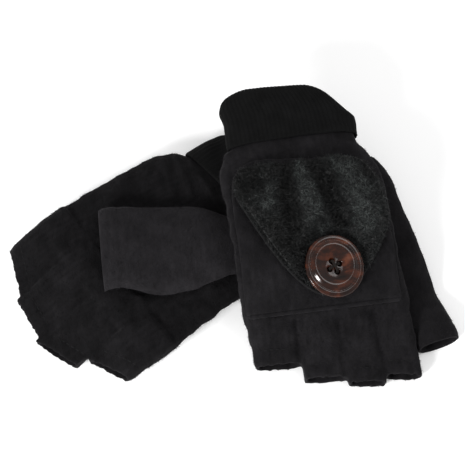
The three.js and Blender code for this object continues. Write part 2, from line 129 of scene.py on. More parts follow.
def along(rows, s, column=1):
    """Smooth interpolation through rows of [s, value, ...], flat beyond the ends."""
    rows = np.asarray(rows, float)
    at, value = rows[:, 0], rows[:, column]
    slope = np.zeros(len(at))
    slope[1:-1] = (value[2:] - value[:-2]) / (at[2:] - at[:-2])
    s = np.clip(s, at[0], at[-1])
    k = np.clip(np.searchsorted(at, s, side="right") - 1, 0, len(at) - 2)
    span = at[k + 1] - at[k]
    t, rise = (s - at[k]) / span, value[k + 1] - value[k]
    m0, m1 = slope[k] * span, slope[k + 1] * span
    return value[k] + t * (m0 + t * (3 * rise - 2 * m0 - m1 + t * (m0 + m1 - 2 * rise)))


def drape(side, x, s):
    """Height of the middle of the hand over the table, before the mitten is placed."""
    return along(side["rise"], s) - along(side["roll"], s) * x + along(side["cup"], s) * x * x


def hand_at(side, s):
    """The hand's section at s: its middle, half width, half height and how boxy it is."""
    tucked = side["wrist_half"] + RIB + GAP + FLEECE
    edges = [[TUCK_S, -tucked, tucked], [HEM_S + 2, -tucked, tucked], *side["edges"]]
    high = [[HEM_S + 2, side["wrist_open"] + RIB + GAP + FLEECE], *side["high"]]
    low, far = along(edges, s, 1), along(edges, s, 2)
    return (low + far) / 2, (far - low) / 2, along(high, s), along([[6, WRIST_POWER], [24, PALM_POWER]], s)


def back_of(side, s):
    return hand_at(side, s)[2]


def settle(side):
    """Reads from the cap's hinge joint where the mitten lies, and how far it is turned."""
    hinge = next(j for j in frame["joints"] if j["name"] == f"{side['name']}_cap_flip")
    axis = Vector(hinge["axis"]) * side["face"]
    turn = math.atan2(axis.y, axis.x)
    side["turn"] = c, n = math.cos(turn), math.sin(turn)
    place = np.array(hinge["pos_m"], float) * 1000
    reach = side["face"] * (back_of(side, HINGE_S) + HINGE_RISE) + drape(side, CAP_X, HINGE_S)
    side["origin"] = place - np.array([c * CAP_X + n * HINGE_S, n * CAP_X - c * HINGE_S, reach])


def laid(side, points, stiff_at=None):
    """Mitten points (x, s, z) in millimetres as points in the frame, in metres."""
    x, s, z = np.asarray(points, float).T
    if stiff_at is None:
        up = drape(side, x, s)
    else:  # a stiff piece keeps its shape and takes the slope at its own place
        x0, s0 = stiff_at
        slope_x = (drape(side, x0 + 1, s0) - drape(side, x0 - 1, s0)) / 2
        slope_s = (drape(side, x0, s0 + 1) - drape(side, x0, s0 - 1)) / 2
        up = drape(side, x0, s0) + slope_x * (x - x0) + slope_s * (s - s0)
    c, n = side["turn"]
    flat = np.stack([c * x + n * s, n * x - c * s, up + side["face"] * z], axis=1)
    return (flat + side["origin"]) / 1000


def unlaid(side, points):
    """The x and s, in the mitten's own millimetres, of points in the frame."""
    flat = np.asarray(points) * 1000 - side["origin"]
    c, n = side["turn"]
    return c * flat[:, 0] + n * flat[:, 1], n * flat[:, 0] - c * flat[:, 1]


# ---- fields and meshes ----


def waves(points, length, seed, count=12):
    """Smooth random relief of about -1 to 1, with features about `length` millimetres long."""
    rng = np.random.default_rng(seed)
    points = np.asarray(points, float)
    total = np.zeros(points.shape[:-1])
    for _ in range(count):
        way = rng.normal(size=points.shape[-1])
        way *= math.tau / (length * rng.uniform(0.7, 1.6)) / np.linalg.norm(way)
        total += np.sin(points @ way + rng.uniform(0, math.tau))
    return total / math.sqrt(count)


def ripple(x, s, length, seed):
    return waves(np.stack([x, s], axis=-1), length, seed)


def oval_field(x, z, half, high, power):
    """About the distance outside an oval with flattened sides."""
    g = np.maximum((np.abs(x) / half) ** power + (np.abs(z) / high) ** power, 1e-4)
    ratio = g ** (1 / power)
    steep_x = ratio ** (1 - power) * np.abs(x) ** (power - 1) / half**power
    steep_z = ratio ** (1 - power) * np.abs(z) ** (power - 1) / high**power
    return (ratio - 1) / np.maximum(np.hypot(steep_x, steep_z), 1e-3)


def soft_min(a, b, round_by):
    h = np.clip(0.5 + 0.5 * (b - a) / round_by, 0, 1)
    return b + (a - b) * h - round_by * h * (1 - h)


def soft_max(a, b, round_by):
    return -soft_min(-a, -b, round_by)


def contour(field, low, high, step):
    """The closed surface where field(x, s, z) is zero, in quads, by surface nets."""
    axes = [np.arange(a, b + step, step) for a, b in zip(low, high)]
    grid = np.stack(np.meshgrid(*axes, indexing="ij"), axis=-1)
    value = field(grid[..., 0], grid[..., 1], grid[..., 2])
    value[[0, -1]] = value[:, [0, -1]] = value[:, :, [0, -1]] = 1.0
    inside = value < 0
    corners = [(i, j, k) for i in (0, 1) for j in (0, 1) for k in (0, 1)]
    size = np.array(value.shape) - 1

    def at(a, corner):
        return a[tuple(slice(c, c + n) for c, n in zip(corner, size))]

    count_in = sum(at(inside, c).astype(int) for c in corners)
    active = (count_in > 0) & (count_in < 8)
    number = np.full(tuple(size), -1)
    number[active] = np.arange(active.sum())
    total, hits = np.zeros((active.sum(), 3)), np.zeros(active.sum())
    for a in corners:
        for axis in range(3):
            if a[axis]:
                continue
            b = tuple(1 if k == axis else a[k] for k in range(3))
            va, vb = at(value, a)[active], at(value, b)[active]
            cross = (va < 0) != (vb < 0)
            t = np.where(cross, va / np.where(cross, va - vb, 1), 0)
            point = np.tile(np.array(a, float), (len(va), 1))
            point[:, axis] += t
            total += point * cross[:, None]
            hits += cross
    cell = np.argwhere(active)
    vertices = np.array(low) + (cell + total / hits[:, None]) * step
    quads = []
    for axis in range(3):
        a, b = (np.delete(inside, end, axis) for end in (-1, 0))
        for first, second in ((a, b), (b, a)):
            at_edge = np.argwhere(first & ~second)
            u, v = [k for k in range(3) if k != axis]
            ring = []
            for du, dv in ((1, 1), (0, 1), (0, 0), (1, 0)):
                index = at_edge.copy()
                index[:, u] -= du
                index[:, v] -= dv
                ring.append(number[tuple(index.T)])
            ring = np.stack(ring, axis=1)
            if (first is b) != (axis == 1):
                ring = ring[:, ::-1]
            quads.append(ring)
    return vertices, np.concatenate(quads)


def relax(vertices, faces, rounds=2, pull=0.5):
    """Evens out a mesh of quads a little, as Laplacian smoothing does."""
    edges = np.concatenate([faces[:, [k, (k + 1) % 4]] for k in range(4)])
    for _ in range(rounds):
        total, count = np.zeros_like(vertices), np.zeros(len(vertices))
        for a, b in ((0, 1), (1, 0)):
            np.add.at(total, edges[:, a], vertices[edges[:, b]])
            np.add.at(count, edges[:, a], 1)
        vertices = vertices + pull * (total / np.maximum(count, 1)[:, None] - vertices)
    return vertices


def outward(vertices, faces):
    """Turns a closed mesh's quads outwards."""
    total = 0.0
    for f in (faces[:, :3], faces[:, [0, 2, 3]]):
        a, b, c = (vertices[f[:, k]] for k in range(3))
        total += (a * np.cross(b, c)).sum()
    return faces if total > 0 else faces[:, ::-1]


def loft(rings, caps=True):
    """Vertices and quads through rings of points; without caps the last ring joins the first."""
    rings = np.asarray(rings, float)
    rows, size = rings.shape[:2]
    i, j = np.meshgrid(np.arange(rows if not caps else rows - 1), np.arange(size), indexing="ij")
    nxt, right = (i + 1) % rows, (j + 1) % size
    faces = np.stack([i * size + j, i * size + right, nxt * size + right, nxt * size + j], axis=-1).reshape(-1, 4)
    return rings.reshape(-1, 3), faces


def tube(path, radius, sides=8, wobble=0.0, seed=0):
    """A closed tube along points in the frame, in metres, rounded off at its ends."""
    path = np.asarray(path, float)
    way = np.gradient(path, axis=0)
    way /= np.linalg.norm(way, axis=1)[:, None]
    across = np.cross(way, [0.0, 0.0, 1.0])
    across /= np.maximum(np.linalg.norm(across, axis=1), 1e-9)[:, None]
    up = np.cross(across, way)
    angle = np.linspace(0, math.tau, sides, endpoint=False)
    size = np.full(len(path), radius)
    size[[0, -1]] *= 0.45
    size *= 1 + wobble * waves(np.arange(len(path), dtype=float)[:, None], 5, seed)
    rings = [
        p + r * (np.cos(angle)[:, None] * a + np.sin(angle)[:, None] * u)
        for p, r, a, u in zip(path, size, across, up)
    ]
    vertices, faces = loft(rings)
    ends = [list(range(sides))[::-1], list(range(len(vertices) - sides, len(vertices)))]
    return vertices, [*(tuple(f) for f in faces), *ends]


def bent(value, power):
    """A cosine or sine, bent so that the two draw an oval with flattened sides."""
    return np.sign(value) * np.abs(value) ** (2 / power)


def joined(parts):
    """Several (vertices, faces) as one."""
    vertices, faces, start = [], [], 0
    for v, f in parts:
        vertices.append(v)
        faces += [tuple(i + start for i in face) for face in f]
        start += len(v)
    return np.concatenate(vertices), faces


def fibres(vertices, faces, count, length, width, lean, stray, seed, segments=1, pick=None, curl=0.0, clump=0.0):
    """Tapering three-sided fibres rooted on quads, in metres, and each one's tone from 0 to 1."""
    rng = np.random.default_rng(seed)
    faces = np.asarray(faces)
    if pick is not None:
        faces = faces[pick[faces].all(axis=1)]
    a, b, c = (vertices[faces[:, k]] for k in (0, 1, 2))
    area = np.linalg.norm(np.cross(b - a, c - a), axis=1)
    face = rng.choice(len(faces), count, p=area / area.sum())
    corner = vertices[faces[face]]
    u, v = rng.random((2, count, 1))
    root = (1 - u) * ((1 - v) * corner[:, 0] + v * corner[:, 3]) + u * ((1 - v) * corner[:, 1] + v * corner[:, 2])
    normal = np.cross(corner[:, 1] - corner[:, 0], corner[:, 2] - corner[:, 0])
    normal /= np.maximum(np.linalg.norm(normal, axis=1), 1e-12)[:, None]
    heading = normal + np.asarray(lean) + stray * rng.normal(size=(count, 3))
    swirl = np.zeros(count)
    if clump:  # neighbours lean the same way, so that the pile forms locks
        mm = root * 1000
        swirl = waves(mm, 7.0, seed + 5)
        heading += clump * np.stack([waves(mm, 9.0, seed + 1), waves(mm, 9.0, seed + 2), 0 * mm[:, 0]], axis=1)
    heading /= np.linalg.norm(heading, axis=1)[:, None]
    side = np.cross(heading, rng.normal(size=(count, 3)))
    side /= np.linalg.norm(side, axis=1)[:, None]
    third = np.cross(heading, side)
    long = length * rng.uniform(0.6, 1.15, count) * (1 + 0.18 * swirl)
    wide = width * rng.uniform(0.7, 1.2, count)
    bend = side * (curl * rng.normal(size=count))[:, None] - np.array([0, 0, 1.0]) * curl * 0.35
    angle = (np.arange(3) * 2 * math.pi / 3)[None, :, None]
    ring = np.cos(angle) * side[:, None] + np.sin(angle) * third[:, None]
    levels = []
    for k in range(segments):
        t = k / segments
        middle = root - normal * 0.15 * width + heading * (long * t)[:, None] + bend * (long * t * t)[:, None]
        r = wide * (1 - 0.75 * t) / 2
        levels.append(middle[:, None] + r[:, None, None] * ring)
    tip = root + heading * long[:, None] + bend * long[:, None]
    points = np.concatenate([*levels, tip[:, None]], axis=1)
    per = 3 * segments + 1
    base = [(0, 2, 1)]
    for k in range(segments - 1):
        for j in range(3):
            p, q = 3 * k + j, 3 * k + (j + 1) % 3
            base += [(p, q, q + 3), (p, q + 3, p + 3)]
    last = 3 * (segments - 1)
    base += [(last + j, last + (j + 1) % 3, per - 1) for j in range(3)]
    triangles = (np.array(base)[None] + (np.arange(count) * per)[:, None, None]).reshape(-1, 3)
    tone = np.repeat(np.clip(0.5 + 0.22 * rng.normal(size=count) + 0.2 * swirl, 0, 1), per)
    return points.reshape(-1, 3), triangles, tone


def stitches(paths, radius=0.00028, pitch=0.003, length=0.0021):
    """A row of short stitches along each line of points in the frame, in metres."""
    parts = []
    for path in paths:
        path = np.asarray(path, float)
        run = np.concatenate([[0], np.cumsum(np.linalg.norm(np.diff(path, axis=0), axis=1))])
        for start in np.arange(pitch / 2, run[-1] - length, pitch):
            at = np.linspace(start, start + length, 5)
            line = np.stack([np.interp(at, run, path[:, k]) for k in range(3)], axis=1)
            parts.append(tube(line, radius, 6))
    return joined(parts)


# ---- materials ----


class Look:
    """A node material that is put together one node at a time."""

    def __init__(self, name):
        self.material = bpy.data.materials.new(name)
        self.material.use_nodes = True
        self.tree = self.material.node_tree
        self.shader = self.tree.nodes["Principled BSDF"]
        self.place = self.tree.nodes.new("ShaderNodeTexCoord").outputs["Object"]

    def fill(self, socket, value):
        """Links a socket to another one, or sets its number, vector or colour."""
        if isinstance(value, bpy.types.NodeSocket):
            self.tree.links.new(value, socket)
        else:
            socket.default_value = value

    def node(self, kind, output, inputs, **settings):
        node = self.tree.nodes.new("ShaderNode" + kind)
        for name, value in settings.items():
            setattr(node, name, value)
        for name, value in inputs.items():
            self.fill(node.inputs[name], value)
        return node.outputs[output]

    def set(self, **values):
        """Sets or links the shader's own sockets."""
        for name, value in values.items():
            self.fill(self.shader.inputs[name.replace("_", " ")], value)

    def noise(self, scale, detail=3.0, roughness=0.6, stretch=None, turn=0.0):
        place = self.place
        if stretch:
            place = self.node("Mapping", "Vector", {"Vector": place, "Scale": stretch, "Rotation": (0, 0, turn)})
        return self.node("TexNoise", "Fac", {"Vector": place, "Scale": scale, "Detail": detail, "Roughness": roughness})

    def ramp(self, value, *stops):
        """Colours, or greys, at places from 0 to 1."""
        colour_at = self.node("ValToRGB", "Color", {"Fac": value})
        ramp = colour_at.node.color_ramp
        while len(ramp.elements) < len(stops):
            ramp.elements.new(0.5)
        for element, (at, colour) in zip(ramp.elements, stops):
            element.position = at
            element.color = (*colour, 1) if hasattr(colour, "__len__") else (colour, colour, colour, 1)
        return colour_at

    def mix(self, a, b, share):
        """Mixes two colours."""
        return self.node("Mix", 2, {6: a, 7: b, 0: share}, data_type="RGBA", blend_type="MIX")

    def sum(self, *terms):
        """Adds up (socket, factor) pairs."""
        total = 0
        for socket, factor in terms:
            total = self.node("Math", 0, {0: socket, 1: factor, 2: total}, operation="MULTIPLY_ADD")
        return total

    def attribute(self, name):
        return self.node("Attribute", "Fac", {}, attribute_name=name)

    def bump(self, height, distance, strength=1.0):
        self.set(Normal=self.node("Bump", "Normal", {"Height": height, "Distance": distance, "Strength": strength}))


def fleece_look(name, dark, light, tint):
    """Brushed black fleece: matted nap with soft lighter patches, lighter where the tone is higher; the tone paints
    light and shade onto the fleece, besides random streaks.
    """
    look = Look(name)
    patch = look.noise(70, 4)
    streak = look.noise(420, 3, 0.6, (1, 0.35, 1), 0.3)
    nap = look.noise(1500, 3, 0.7)
    value = look.sum((patch, 0.42), (streak, 0.3), (nap, 0.32))
    # the lighter ramp is painted light, the darker one painted shade, mixed by the tone
    lighter_and_lit, darker_and_shaded = (
        look.ramp(value, *((at, tuple(c * level * lift for c in tint)) for at, level in ((0.34, dark), (0.72, light))))
        for lift in (1.6, 0.45)
    )
    look.set(
        Base_Color=look.mix(darker_and_shaded, lighter_and_lit, look.attribute("tone")),
        Roughness=look.ramp(nap, (0.3, 0.88), (0.7, 0.98)),
        Sheen_Weight=0.04, Sheen_Roughness=0.45, Sheen_Tint=(0.8, 0.76, 0.82, 1), Specular_IOR_Level=0.08,
    )
    look.bump(look.sum((streak, 0.5), (nap, 0.6), (look.noise(4200, 2), 0.3)), 0.0006, 0.9)
    return look.material


def nap_look():
    look = Look("fleece_nap")
    colour = look.ramp(look.attribute("tone"), (0.0, 0.003), (1.0, (0.03, 0.027, 0.031)))
    look.set(Base_Color=colour, Roughness=0.9, Specular_IOR_Level=0.1)
    return look.material


def fur_look():
    """The pile: black, with a cool grey painted sheen at the tips of the lighter locks, where the tone carries the
    painted highlight.
    """
    look = Look("fur_pile")
    tone = look.sum((look.attribute("tone"), 0.75), (look.noise(330, 3, 0.65), 0.35))
    colour = look.ramp(
        tone, (0.25, (0.0015, 0.0017, 0.0017)), (0.6, (0.011, 0.013, 0.013)), (0.9, (0.075, 0.084, 0.081))
    )
    rough = look.ramp(look.noise(900), (0.3, 0.42), (0.7, 0.62))
    look.set(Base_Color=colour, Roughness=rough, Specular_IOR_Level=0.3)
    return look.material


def rib_look():
    look = Look("rib_knit")
    yarn = look.noise(1900, 3, 0.7)
    patch = look.noise(110)
    value = look.sum((patch, 0.5), (yarn, 0.5))
    look.set(
        Base_Color=look.ramp(value, (0.35, 0.0018), (0.7, (0.0058, 0.0058, 0.006))),
        Roughness=look.ramp(yarn, (0.3, 0.85), (0.7, 0.97)),
        Specular_IOR_Level=0.1,
    )
    look.bump(look.sum((yarn, 0.7), (look.noise(5200, 2), 0.3)), 0.0004, 0.8)
    return look.material


def cloth_look(name, low, high, scale=2600):
    """A smooth woven or knitted cloth for linings, bindings and thread."""
    look = Look(name)
    fine = look.noise(scale)
    look.set(
        Base_Color=look.ramp(fine, (0.3, low), (0.7, high)),
        Roughness=look.ramp(look.noise(scale / 3), (0.3, 0.72), (0.7, 0.9)),
        Specular_IOR_Level=0.15,
    )
    look.bump(fine, 0.00025, 0.8)
    return look.material


def horn_look():
    """Polished dark horn: red-brown, with darker swirls and paler streaks."""
    look = Look("polished_horn")
    swirl = look.noise(95, 4, 0.55, (1, 2.4, 1), 0.7)
    cloud = look.noise(260)
    value = look.sum((swirl, 0.75), (cloud, 0.25))
    colour = look.ramp(
        value,
        (0.36, (0.004, 0.0014, 0.0008)),
        (0.5, (0.016, 0.004, 0.0018)),
        (0.6, (0.05, 0.012, 0.0045)),
        (0.72, (0.1, 0.032, 0.015)),
    )
    look.set(Base_Color=colour, Roughness=look.ramp(look.noise(800), (0.3, 0.1), (0.7, 0.2)))
    look.bump(look.noise(1100, 2), 0.00002, 0.5)
    look.set(Coat_Weight=0.06, Coat_Roughness=0.04, Specular_IOR_Level=0.28)
    return look.material


FLEECE_LOOK = fleece_look("black_fleece", 0.004, 0.0165, (1.0, 0.93, 1.03))
NAP_LOOK = nap_look()
FUR_LOOK = fur_look()
RIB_LOOK = rib_look()
LINING_LOOK = cloth_look("lining_cloth", (0.004, 0.004, 0.0045), (0.011, 0.0105, 0.0115))
TAPE_LOOK = cloth_look("binding_tape", (0.004, 0.004, 0.0042), (0.011, 0.0105, 0.0112))
THREAD_LOOK = cloth_look("sewing_thread", (0.006, 0.005, 0.0045), (0.018, 0.014, 0.012), 6000)
HORN_LOOK = horn_look()

# ---- the hand ----

HAND_STEP = 0.8
FINGER_TOUCH = 0.55  # how far neighbouring finger stubs press into each other at their sides
STUB_END_HIGH = 4.5  # half height of an empty stub at its open end


def finger_place(finger, s):
    """Where the middle of a finger stub is at s."""
    return finger[0] + (s - CROTCH_S) * math.tan(math.radians(finger[3]))


def off_line(x, y, a, b):
    """The distance from the line between two points."""
    (ax, ay), (bx, by) = a, b
    length = (bx - ax) ** 2 + (by - ay) ** 2
    t = np.clip(((x - ax) * (bx - ax) + (y - ay) * (by - ay)) / length, 0, 1)
    return np.hypot(x - ax - t * (bx - ax), y - ay - t * (by - ay))


def bell(value, width):
    """1 at 0, falling smoothly to 0 away from it."""
    return np.exp(-((value / width) ** 2))


def creases(x, s, rows):
    """The height at (x, s) of creases, each a line from a to b with a width and a height."""
    return sum(high * bell(off_line(x, s, a, b), width) for a, b, width, high in rows)


# the folds of the shown face
FOLDS = {
    "right": [
        ((-38, 12), (-30, 22), 3.2, 0.9), ((-20, 9), (-14, 15), 2.6, 0.9), ((-4, 8), (-1, 15), 2.2, 0.8),
        ((8, 8), (12, 16), 2.8, 0.9), ((24, 8), (33, 15), 3.0, 0.8), ((-16, 100), (-18, 114), 3.0, 0.7),
        ((4, 100), (5, 122), 3.4, 0.7), ((36, 66), (42, 96), 2.6, -0.8), ((-37, 40), (-38, 90), 2.4, 0.5),
    ],
    "left": [
        ((20, 80), (15, 111), 1.8, 1.2), ((-40, 13), (-14, 22), 1.9, 1.1), ((-42, 20), (-20, 30), 1.9, 1.0),
        ((-36, 28), (-14, 38), 2.2, 0.8), ((-32, 9), (-8, 13), 1.7, 0.9), ((-44, 45), (-34, 66), 4.0, 0.8),
        ((-22, 88), (-28, 106), 2.4, 0.8), ((0, 90), (-2, 116), 2.6, 0.7), ((34, 84), (27, 106), 2.2, 0.9),
        ((40, 60), (36, 76), 3.0, 0.6),
    ],
}


def relief(side, x, s, z):
    """How far the fleece stands proud of its plain form: undulation, folds on the shown face, side seams."""
    total = 0.4 * ripple(x, s, 34, 11) + 0.28 * ripple(x, s, 13, 12) + 0.12 * ripple(x, s, 5, 13)
    folds = creases(x, s, FOLDS[side["name"]])
    shown = np.clip(side["face"] * z / 2.5, 0, 1)
    under_cap = np.clip(-cap_outline(x, s, 1.0, False) / 3, 0, 1) * (z > 0)
    side_seam = 0.4 * bell(z, 0.8) * np.clip((s - 6) / 5, 0, 1)
    return (total * np.clip((s - 2) / 10, 0, 1) + folds * shown) * (1 - 0.85 * under_cap) + side_seam


def finger_end(finger, x, s):
    """Where a finger stub is cut off, at each point across it."""
    return finger[2] + finger[4] * np.clip(x - finger_place(finger, s), -finger[1], finger[1])


def stub_shape(side, finger, s):
    """Half height of a finger stub and how far its middle has sunk: the empty stub goes flat towards its end."""
    high = along([[CROTCH_S + 3, FINGER_HIGH], [finger[2], STUB_END_HIGH]], s)
    return high, (FINGER_HIGH - high) * side["face"]


def stub_outside(side, finger, x, s, z, wider):
    """About the distance outside one finger stub, which has a turned-in hem at its end."""
    width, end = finger[1], finger_end(finger, x, s)
    hem = 0.35 * bell(s - end + 3, 3.2) - 0.3 * bell(s - end + 7, 0.9)
    high, sunk = stub_shape(side, finger, s)
    stub = oval_field(x - finger_place(finger, s), z + sunk, width + wider, high + hem, STUB_POWER)
    return np.maximum(stub, CROTCH_S - 16 - s)


def palm_outside(side, x, s, z):
    """About the distance outside the hand without its fingers."""
    middle, half, high, power = hand_at(side, s)
    return soft_max(oval_field(x - middle, z, half, high, power), s - CROTCH_S - 0.6, 2.5)


def hand_outside(side, x, s, z):
    """About the distance outside the hand with its finger stubs, which touch along their sides."""
    whole = palm_outside(side, x, s, z)
    for finger in side["fingers"]:
        whole = soft_min(whole, stub_outside(side, finger, x, s, z, FINGER_TOUCH), 2.2)
    return whole - relief(side, x, s, z)


def hand_inside(side, x, s, z):
    """The same for the hollow in it, which is parted between the fingers."""
    whole = body = palm_outside(side, x, s, z)
    for finger in side["fingers"]:
        whole = np.minimum(whole, soft_min(body, stub_outside(side, finger, x, s, z, 0), 3.0))
    return whole - relief(side, x, s, z) + FLEECE


def hand_field(side):
    def field(x, s, z):
        wall = np.maximum(hand_outside(side, x, s, z), -hand_inside(side, x, s, z))
        end = np.full(x.shape, -1e3)
        middles = [finger_place(f, s) for f in side["fingers"]]
        nearest = np.argmin([np.abs(x - m) for m in middles], axis=0)
        for k, finger in enumerate(side["fingers"]):
            ragged = 0.3 * ripple(x, z, 3.5, 31 + k)
            end = np.where(nearest == k, s - finger_end(finger, x, s) + ragged, end)
        return soft_max(np.maximum(wall, TUCK_S - s), end, 0.9)

    return field


def hand_skin(side):
    reach, past_fingers, high = 56, 136, 11
    vertices, faces = contour(hand_field(side), (-reach, TUCK_S - 2, -high), (reach, past_fingers, high), HAND_STEP)
    vertices = relax(vertices, faces)
    outer = hand_outside(side, *vertices.T) > -0.6
    placed = laid(side, vertices)
    faces = outward(placed, faces)
    return placed, faces, outer & (vertices[:, 1] > HEM_S + 1)


# ---- the thumb ----


ROOT_ROUND = 22  # the thumb's root is rounded over this length


def thumb_rings(side, inset, around, start=0.0, end=None):
    """Rings round the thumb, a millimetre apart, from `start` past its root."""
    stations = side["thumb"]
    first, last = stations[0][0], stations[-1][0]
    c, n = bent(np.cos(around), THUMB_POWER), bent(np.sin(around), THUMB_POWER)
    rows = []
    for s in np.arange(first + start, (last if end is None else end) + 1e-6, 1.0):
        x, z, half, high, yaw = (along(stations, s, column) for column in range(1, 6))
        yaw = math.radians(float(yaw))
        grow = side["thumb_relief"](s, around) - inset
        to_root = np.clip((s - first) / ROOT_ROUND, 0, 1)
        rounding = 1 - math.sqrt(1 - (1 - to_root) ** 2)
        spread = side["root_wide"] * np.clip((last - 16 - s) / 36, 0, 1) * np.clip((s - first - 16) / 14, 0, 1)
        half = half + spread - side["root_draw"] * rounding
        x, s = x + 0.25 * spread * math.cos(yaw), s - 0.25 * spread * math.sin(yaw)
        high = high * (1 - 0.55 * rounding)
        across, up = (half + grow) * c, np.maximum(high + grow, 0.25) * n
        rows.append(np.stack([x + across * math.cos(yaw), s - across * math.sin(yaw), z + up], axis=1))
    return rows


def thumb_skin(side):
    """The thumb: two panels sewn along its sides, turned in at the open end, closed at its root."""
    around = np.linspace(0, math.tau, 128, endpoint=False)
    last = side["thumb"][-1][0]
    seam_width = 0.11

    def grow(s, angle):
        off_seams = ((angle - seam + math.pi) % math.tau - math.pi for seam in (0, math.pi))
        ridge = sum(bell(off, seam_width) for off in off_seams)
        hem = 0.3 * bell(s - last + 3.5, 3.5) - 0.35 * bell(s - last + 8.5, 0.8)
        across = np.stack([np.cos(angle) * 16, np.full(angle.shape, float(s)), np.sin(angle) * 5], axis=-1)
        return 0.75 * ridge + hem + 0.22 * waves(across, 17, 5) + 0.1 * waves(across, 6, 6)

    side["thumb_relief"] = grow
    outer = thumb_rings(side, 0, around)
    inner = thumb_rings(side, FLEECE, around, 2.0, last - 0.2)[::-1]
    lips = [(t, 0.7 * math.sin(math.pi * t)) for t in (0.25, 0.5, 0.75)]
    mouth = [(outer[-1] * (1 - t) + inner[0] * t) + np.array([0, out, 0]) for t, out in lips]
    rings = [*outer, *mouth, *inner]
    vertices, faces = loft(rings)
    size, root = len(around), len(vertices)
    vertices = np.concatenate([vertices, [np.mean(rings[0], axis=0), np.mean(rings[-1], axis=0)]])
    faces = [tuple(f) for f in faces]
    for j in range(size):
        k = (j + 1) % size
        faces += [(k, j, root), (root - size + j, root - size + k, root + 1)]
    outer_points = np.arange(len(vertices)) < len(outer) * size
    placed = laid(side, vertices)
    quads = np.array([f for f in faces if len(f) == 4])
    turned = outward(placed, quads)
    if (turned != quads).any():
        faces = [f[::-1] for f in faces]
    return placed, faces, turned, outer_points


# ---- the cuff ----


def cuff_mesh(side):
    """The rib-knit cuff: one sleeve doubled back over itself, ribbed along its length."""
    outer = RIB + FLEECE + 2 * GAP  # from the sleeve's inside to the inside of its folded part
    folded, middle = outer + RIB, (RIB + outer) / 2
    ribs, per_rib = 64, 6
    fine = np.linspace(0, math.tau, 2881)

    def ring(s, inset):
        closing = along([[CUFF_END_S, 4.6], [CUFF_END_S + 9, 1.4], [TUCK_S - 2, 0]], s)
        lean = along([[CUFF_END_S, side["cuff_lean"]], [TUCK_S - 2, 0]], s)

        def oval(angle, grow):
            half = side["wrist_half"] - closing + grow
            high = side["wrist_open"] - 0.08 * closing + grow
            return np.stack([half * bent(np.cos(angle), WRIST_POWER), high * bent(np.sin(angle), WRIST_POWER)], axis=1)

        line = oval(fine, inset)
        run = np.concatenate([[0], np.cumsum(np.linalg.norm(np.diff(line, axis=0), axis=1))])
        share = np.arange(ribs * per_rib) / (ribs * per_rib)
        angle = np.interp(share * run[-1], run, fine)
        rib = 0.13 * np.cos(math.tau * ribs * share) * (1 if inset > RIB else 0.6)
        near = np.stack([np.cos(angle) * 30, np.sin(angle) * 12, np.full(angle.shape, s)], axis=1)
        slouch = 0.35 * waves(near, 16, 21)
        flat = oval(angle, inset + rib + slouch * (0.5 if inset < folded - 0.01 else 1))
        slant = np.clip((s - TUCK_S) / (HEM_S - TUCK_S), 0, 1) * side["hem_slant"] * flat[:, 0]
        if inset < outer - 0.01:
            slant = 0 * slant
        # the folded edge slouches at its corners
        x = flat[:, 0] + lean
        short = 1 - 0.52 * np.clip((x - 12) / 20, 0, 1) ** 1.6 - 0.3 * np.clip((-18 - x) / 18, 0, 1) ** 1.6
        past = min(s - TUCK_S + 2, 0)
        return np.stack([x - 0.09 * past * side["cuff_pull"], s + slant - past * (1 - short), flat[:, 1]], axis=1)

    down = np.linspace(HEM_S, CUFF_END_S + 5, 26)
    edge = CUFF_END_S
    profile = [
        *((s, folded) for s in down),
        (edge + 2.6, folded - 0.3), (edge + 0.9, folded - 1.1), (edge + 0.1, middle + 0.8),
        (edge, middle - 0.3), (edge + 0.9, 1.0), (edge + 2.6, 0.2),
        *((s, 0) for s in down[::-2]),
        (HEM_S + 0.5, RIB * 0.3), (HEM_S + 0.5, RIB * 0.7),
        *((s, RIB) for s in down[::2]),
        (edge + 3.6, middle),
        *((s, outer) for s in down[::-2]),
        (HEM_S + 0.7, outer + 0.3), (HEM_S + 1.0, folded - 0.8), (HEM_S + 0.7, folded - 0.2),
    ]
    vertices, faces = loft([ring(s, inset) for s, inset in profile], caps=False)
    placed = laid(side, vertices)
    return placed, outward(placed, faces)


# ---- the cap ----

CAP_STEP, LINING_STEP, FUR_STEP, LINING = 0.8, 0.55, 0.6, 0.8
RIM_DROOP = 1.0  # how far the rim of the cap's back lies down on the hand
FRONT_INSET, SLIT_WIDE, FUR_SLIT_WIDE = 2.3, 0.7, 0.8  # the buttonhole's half width in cloth and in fur
GATHERS = [  # the valleys between the fur's lobes and the hollows in them, as lines with a width and a depth
    ((-8.5, 24), (-10.7, 68), 3.8, 3.0), ((5, 18), (10, 33), 3.6, 4.2), ((10, 33), (15, 56), 3.8, 4.0),
    ((-33, 27), (-29, 33), 6.5, 3.2), ((33, 24), (36, 30), 5.0, 1.4),
]


def cap_half(s):
    t = np.clip((HINGE_S - s) / (HINGE_S - CAP_TIP_S), 0, 1)
    return CAP_HALF * np.cbrt(1 - 0.9 * t**9)


def mouth_line(u, inset=0.0):
    """The cap's curved mouth at u from -1 to 1 across the cap, as (x, s)."""
    v = u - TONGUE_U
    s = TONGUE_S - TONGUE_DEPTH * np.abs(v) ** TONGUE_POWER
    slope = -TONGUE_DEPTH * TONGUE_POWER * np.sign(v) * np.abs(v) ** (TONGUE_POWER - 1) / CAP_HALF
    length = np.hypot(1, slope)
    return CAP_X + u * cap_half(s) + inset * slope / length, s - inset / length


